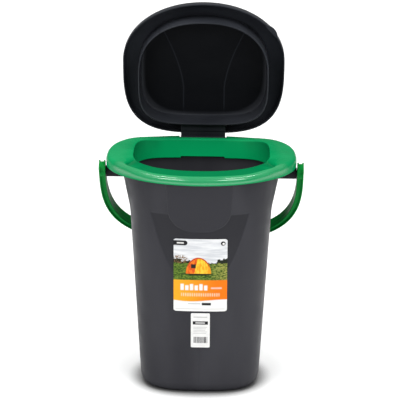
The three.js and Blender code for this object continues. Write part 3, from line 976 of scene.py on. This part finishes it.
def draw_front_label(paint, across, down):
    """A generic camping picture over an orange band, with plain bars for the wording."""
    streaks = paint.noise(120, 3, (0.25, 1, 2.2))
    picture = paint.blend(paint.ramp(streaks, 0.3, 0.7), (0.60, 0.62, 0.65), (0.80, 0.81, 0.82))
    rough = paint.math("MULTIPLY", paint.math("SUBTRACT", paint.noise(160, 3), 0.5), 0.12)
    rise = paint.math("ABSOLUTE", paint.math("SUBTRACT", across, 0.52))
    skyline = paint.math("SUBTRACT", 0.345, paint.math("MULTIPLY", rise, 0.15))
    skyline = paint.math("ADD", skyline, rough)
    hills = between(paint, down, skyline, 2.0)
    picture = paint.blend(hills, picture, (0.018, 0.022, 0.012))
    bushes = spot(paint, across, down, 0.12, 0.28, 0.14, 0.06, 0.5)
    bushes = paint.math("MULTIPLY", bushes, paint.ramp(paint.noise(400, 2), 0.42, 0.6))
    picture = paint.blend(bushes, picture, (0.20, 0.11, 0.04))
    blades = paint.noise(420, 3, (0.6, 1, 1.4))
    grass = paint.blend(paint.ramp(blades, 0.32, 0.68), (0.018, 0.055, 0.008), (0.16, 0.26, 0.03))
    sunny = paint.math("MULTIPLY", paint.ramp(across, 0.55, 1.0), paint.ramp(blades, 0.4, 0.62))
    grass = paint.blend(sunny, grass, (0.36, 0.34, 0.08))
    meadow = paint.math("ADD", 0.335, paint.math("MULTIPLY", rough, 0.5))
    picture = paint.blend(between(paint, down, meadow, 2.0), picture, grass)
    picture = draw_tent(paint, across, down, picture)
    glow = paint.ramp(across, 0.0, 0.9)
    band = paint.blend(glow, (0.93, 0.40, 0.02), (0.90, 0.19, 0.006))
    picture = paint.blend(between(paint, down, 0.565, 2.0), picture, band)
    for i in range(6):
        left = 0.13 + 0.088 * i
        top = 0.62 + 0.018 * (i % 2)
        bar = patch(paint, across, down, left, top, left + 0.062, 0.705, 0.01)
        picture = paint.blend(bar, picture, WHITE)
    rule = patch(paint, across, down, 0.70, 0.665, 0.9, 0.685, 0.01)
    picture = paint.blend(paint.math("MULTIPLY", rule, 0.55), picture, WHITE)
    strip = patch(paint, across, down, 0.14, 0.745, 0.86, 0.79, 0.01)
    dots = paint.math("FRACT", paint.math("MULTIPLY", across, 24))
    strip = paint.math("MULTIPLY", strip, between(paint, dots, 0.15, 0.8, 0.1))
    picture = paint.blend(paint.math("MULTIPLY", strip, 0.6), picture, (0.9, 0.75, 0.55))
    wave = paint.math("SINE", paint.math("MULTIPLY", across, 5.0))
    foot = paint.math("ADD", 0.848, paint.math("MULTIPLY", wave, 0.014))
    picture = paint.blend(between(paint, down, foot, 2.0), picture, WHITE)
    pale = patch(paint, across, down, 0.27, 0.885, 0.50, 0.90)
    picture = paint.blend(pale, picture, (0.55, 0.55, 0.55))
    dark = patch(paint, across, down, 0.53, 0.88, 0.70, 0.915)
    picture = paint.blend(dark, picture, INK)
    fine_line = patch(paint, across, down, 0.04, 0.963, 0.96, 0.969, 0.003)
    picture = paint.blend(paint.math("MULTIPLY", fine_line, 0.35), picture, INK)
    tag = patch(paint, across, down, -1, 0.022, 0.21, 0.088, 0.008)
    tag = paint.math("MAXIMUM", tag, spot(paint, across, down, 0.21, 0.055, 0.048, 0.033, 0.12))
    picture = paint.blend(tag, picture, INK)
    tag_bar = patch(paint, across, down, 0.06, 0.048, 0.19, 0.064, 0.006)
    picture = paint.blend(tag_bar, picture, WHITE)
    ring = spot(paint, across, down, 0.92, 0.06, 0.044, 0.029, 0.15)
    picture = paint.blend(ring, picture, INK)
    hole = spot(paint, across, down, 0.928, 0.064, 0.022, 0.014, 0.25)
    return paint.blend(hole, picture, WHITE)


def draw_tent(paint, across, down, picture):
    """A plain dome tent: an orange door face on the left and a yellow fly on the right."""
    top, foot, middle = 0.255, 0.475, 0.465
    shadow = spot(paint, across, down, 0.46, 0.476, 0.26, 0.026, 0.6)
    picture = paint.blend(shadow, picture, (0.01, 0.015, 0.006))
    above = between(paint, down, -1.0, foot, 0.005)
    dome = spot(paint, across, down, middle, foot, 0.235, foot - top, 0.04)
    dome = paint.math("MULTIPLY", dome, above)
    folds = paint.ramp(paint.noise(180, 1, (1.8, 1, 0.7)), 0.35, 0.65)
    fly_colour = paint.blend(folds, (0.85, 0.36, 0.012), (0.95, 0.62, 0.05))
    flank = paint.ramp(across, 0.60, 0.70)
    fly_colour = paint.blend(flank, fly_colour, (0.80, 0.30, 0.01))
    picture = paint.blend(dome, picture, fly_colour)
    drop = paint.node("MapRange", {"Value": down, "From Min": top, "From Max": foot}).outputs[0]
    seam = paint.math("SUBTRACT", 0.45, paint.math("MULTIPLY", drop, 0.06))
    door = paint.math("MULTIPLY", dome, between(paint, across, -1.0, seam))
    door_colour = paint.blend(folds, (0.66, 0.08, 0.01), (0.88, 0.20, 0.015))
    picture = paint.blend(door, picture, door_colour)
    window = patch(paint, across, down, 0.325, 0.345, 0.415, 0.40)
    picture = paint.blend(window, picture, (0.02, 0.018, 0.016))
    inner = spot(paint, across, down, middle, foot, 0.218, foot - top - 0.016, 0.04)
    hem = paint.math("MULTIPLY", paint.math("SUBTRACT", dome, inner), paint.ramp(down, 0.40, 0.36))
    return paint.blend(paint.math("MAXIMUM", hem, 0.0), picture, (0.50, 0.04, 0.012))


def draw_info_label(paint, across, down):
    """Plain bars and stripes in place of the printed details."""
    picture = paint.blend(paint.ramp(paint.noise(90, 2), 0.3, 0.7), (0.80, 0.80, 0.79), WHITE)
    heading = patch(paint, across, down, 0.14, 0.10, 0.86, 0.125)
    picture = paint.blend(paint.math("MULTIPLY", heading, 0.6), picture, (0.2, 0.2, 0.2))
    strip = patch(paint, across, down, 0.10, 0.235, 0.90, 0.33)
    picture = paint.blend(strip, picture, INK)
    strip_bar = patch(paint, across, down, 0.24, 0.27, 0.74, 0.295)
    picture = paint.blend(strip_bar, picture, WHITE)
    for i in range(5):
        top = 0.40 + 0.045 * i
        line = patch(paint, across, down, 0.13, top, 0.86 - 0.05 * (i % 3), top + 0.014)
        picture = paint.blend(paint.math("MULTIPLY", line, 0.6), picture, (0.25, 0.25, 0.25))
    stripes = patch(paint, across, down, 0.14, 0.69, 0.88, 0.87)
    code = paint.ramp(paint.noise(1100, 0, (1, 0, 0)), 0.46, 0.5)
    stripes = paint.math("MULTIPLY", stripes, code)
    return paint.blend(stripes, picture, (0.05, 0.05, 0.055))


# ------------------------------------------------------------------ pieces
GREEN = (0.001, 0.245, 0.079)
BAIL_GREEN = (0.001, 0.175, 0.026)
CHARCOAL = (0.028, 0.028, 0.0335)
BLACK = (0.0175, 0.0195, 0.0245)

tub = make_tub()
seat = make_seat()
lid = make_lid()
pin = make_pin()
bail = make_bail()
front_label = make_label("front_label_film", FRONT_LABEL_LOW, FRONT_LABEL_HIGH, 4)
info_label = make_label("info_label_film", INFO_LABEL_LOW, INFO_LABEL_HIGH, 2)

# Painted shade: "panel" darkens the sunk shield and "ear" darkens the side bosses as in the seat's
# shadow.
TUB_MASKS = [("panel", 0.72, 0.04, 1), ("tongue", 0.96, 0.06, 1), ("ear", 0.25, 0, 0.3)]
# Painted shade: the bowl shade darkens the inside of the dome, and a dark line runs along the
# panel's step.
LID_MASKS = [("bowl_shade", 0.26, 0, 0.3), (panel_step_shade, 0.75, 0, 1)]
# The facet shade mask paints shade on the front slope and the splash mask paints light on the
# splash wall.
SEAT_MASKS = [("facet_shade", 0.6, 0, 1), ("splash", 1.65, 0, 1), ("roll", 1, 0.03, 48)]
tub_finish = moulded_plastic(
    "tub_plastic", CHARCOAL, 0.42, grain=0.5, specular=0.1, masks=TUB_MASKS,
)
seat_finish = moulded_plastic(
    "seat_plastic", GREEN, 0.24, grain=0.03, specular=0.02, wear=0.06, masks=SEAT_MASKS,
)
lid_finish = moulded_plastic(
    "lid_plastic", BLACK, 0.36, grain=0.35, specular=0.1, wear=0.04, masks=LID_MASKS,
)
bail_finish = moulded_plastic("bail_plastic", BAIL_GREEN, 0.34, grain=0.2, specular=0.02, wear=0.06)
pin_finish = moulded_plastic("pin_plastic", BLACK, 0.35, grain=0.2, specular=0.05, wear=0.04)
front_film = printed_film("label_film", FRONT_LABEL_LOW, FRONT_LABEL_HIGH, draw_front_label)
info_film = printed_film("info_film", INFO_LABEL_LOW, INFO_LABEL_HIGH, draw_info_label)

PLAN = [
    (tub, "tub", "tub_body", "tub_plastic", tub_finish),
    (front_label, "front_label", "tub_body", "label_film", front_film),
    (info_label, "info_label", "tub_body", "info_film", info_film),
    (seat, "seat_ring", "seat_body", "seat_plastic", seat_finish),
    (pin, "lid_hinge_pin", "seat_body", "pin_plastic", pin_finish),
    (lid, "lid", "lid_body", "lid_plastic", lid_finish),
    (bail, "bail_handle", "bail_body", "bail_plastic", bail_finish),
]
for piece, node, body, slot, finish in PLAN:
    piece.data.materials.append(finish)
    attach(piece, body)
    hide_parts(node)

# ------------------------------------------------------------------ stage
FLOOR_HALF = 9000
# A contact shade in the floor's own colour, besides the shadows that the lights cast:
# it darkens to CONTACT_TONE where something stands closer than CONTACT_REACH.
CONTACT_REACH = 52
CONTACT_TONE = (0.2, 0.2, 0.2)
FLOOR_TONES = ((0.97, 0.97, 0.97), (0.98, 0.98, 0.98))


def make_floor():
    """A pale studio floor with a soft contact shade."""
    corners = [(x * FLOOR_HALF, y * FLOOR_HALF, 0) for x, y in ((-1, -1), (1, -1), (1, 1), (-1, 1))]
    floor = mesh_object("studio_floor", corners, [(0, 1, 2, 3)])
    paint = Paint("studio_floor")
    tone = paint.blend(paint.ramp(paint.noise(3, 2), 0.3, 0.7), *FLOOR_TONES)
    nearby = paint.node("AmbientOcclusion", {"Distance": CONTACT_REACH * MM}, samples=16)
    open_share = paint.ramp(nearby.outputs["AO"], 0.4, 0.85)
    tone = paint.blend(open_share, CONTACT_TONE, tone)
    paint.wire(paint.shader.inputs["Base Color"], tone)
    paint.shader.inputs["Roughness"].default_value = 0.8
    paint.shader.inputs["Specular IOR Level"].default_value = 0.1
    floor.data.materials.append(paint.material)


def add_softbox(name, place, aim, width, height, watts):
    """A rectangular area light; places are in millimetres."""
    light = bpy.data.lights.new(name, "AREA")
    light.shape = "RECTANGLE"
    light.size, light.size_y = width * MM, height * MM
    light.energy = watts
    box = bpy.data.objects.new(name, light)
    box.location = Vector(place) * MM
    direction = Vector(aim) - Vector(place)
    box.rotation_euler = direction.to_track_quat("-Z", "Y").to_euler()
    bpy.context.scene.collection.objects.link(box)


def add_overhead(strength, spread):
    """Even light from straight above, spread over an angle in degrees, without a glint."""
    light = bpy.data.lights.new("overhead", "SUN")
    light.energy = strength
    light.angle = math.radians(spread)
    lamp = bpy.data.objects.new("overhead", light)
    lamp.visible_glossy = False
    bpy.context.scene.collection.objects.link(lamp)


def light_world(horizon, zenith):
    """A white dome that is dim at the horizon and bright overhead."""
    world = bpy.data.worlds.new("studio")
    world.use_nodes = True
    tree = world.node_tree
    background = tree.nodes["Background"]
    background.inputs["Color"].default_value = (1, 1, 1, 1)
    place = tree.nodes.new("ShaderNodeTexCoord")
    split = tree.nodes.new("ShaderNodeSeparateXYZ")
    rise = tree.nodes.new("ShaderNodeMapRange")
    rise.interpolation_type = "SMOOTHSTEP"
    rise.inputs["From Max"].default_value = 0.55
    rise.inputs["To Min"].default_value = horizon
    rise.inputs["To Max"].default_value = zenith
    tree.links.new(place.outputs["Generated"], split.inputs[0])
    tree.links.new(split.outputs["Z"], rise.inputs["Value"])
    tree.links.new(rise.outputs[0], background.inputs["Strength"])
    bpy.context.scene.world = world


make_floor()
light_world(0.15, 0.6)
MIDDLE = (0, 0, 350)
add_softbox("softbox_left", (-1150, -1020, 2560), MIDDLE, 1000, 70, 11)
add_softbox("softbox_right", (1150, -1020, 2560), MIDDLE, 1000, 70, 11)
add_softbox("softbox_front_left", (-1350, -2290, 1750), MIDDLE, 1300, 420, 17)
add_softbox("softbox_front_right", (1350, -2290, 1750), MIDDLE, 1300, 420, 17)
add_overhead(2.25, 50)

# ------------------------------------------------------------------ camera
CAMERA_TARGET = Vector((-2.1, 0, 361.6)) * MM
CAMERA_DISTANCE = 3.9  # metres
CAMERA_ELEVATION = math.radians(18)
CAMERA_YAW = math.radians(1.3)
CAMERA_ROLL = math.radians(0.4)
back = Vector((
    math.sin(CAMERA_YAW) * math.cos(CAMERA_ELEVATION),
    -math.cos(CAMERA_YAW) * math.cos(CAMERA_ELEVATION),
    math.sin(CAMERA_ELEVATION),
))
lens = bpy.data.cameras.new("camera")
lens.lens = 183.4
lens.sensor_width = 36
camera = bpy.data.objects.new("camera", lens)
camera.location = CAMERA_TARGET + back * CAMERA_DISTANCE
turn = (-back).to_track_quat("-Z", "Y") @ Quaternion((0, 0, 1), CAMERA_ROLL)
camera.rotation_mode = "QUATERNION"
camera.rotation_quaternion = turn
lens.clip_start, lens.clip_end = 0.05, 60
bpy.context.scene.collection.objects.link(camera)
bpy.context.scene.camera = camera
bpy.context.scene.view_settings.view_transform = "Standard"

bpy.context.view_layer.update()
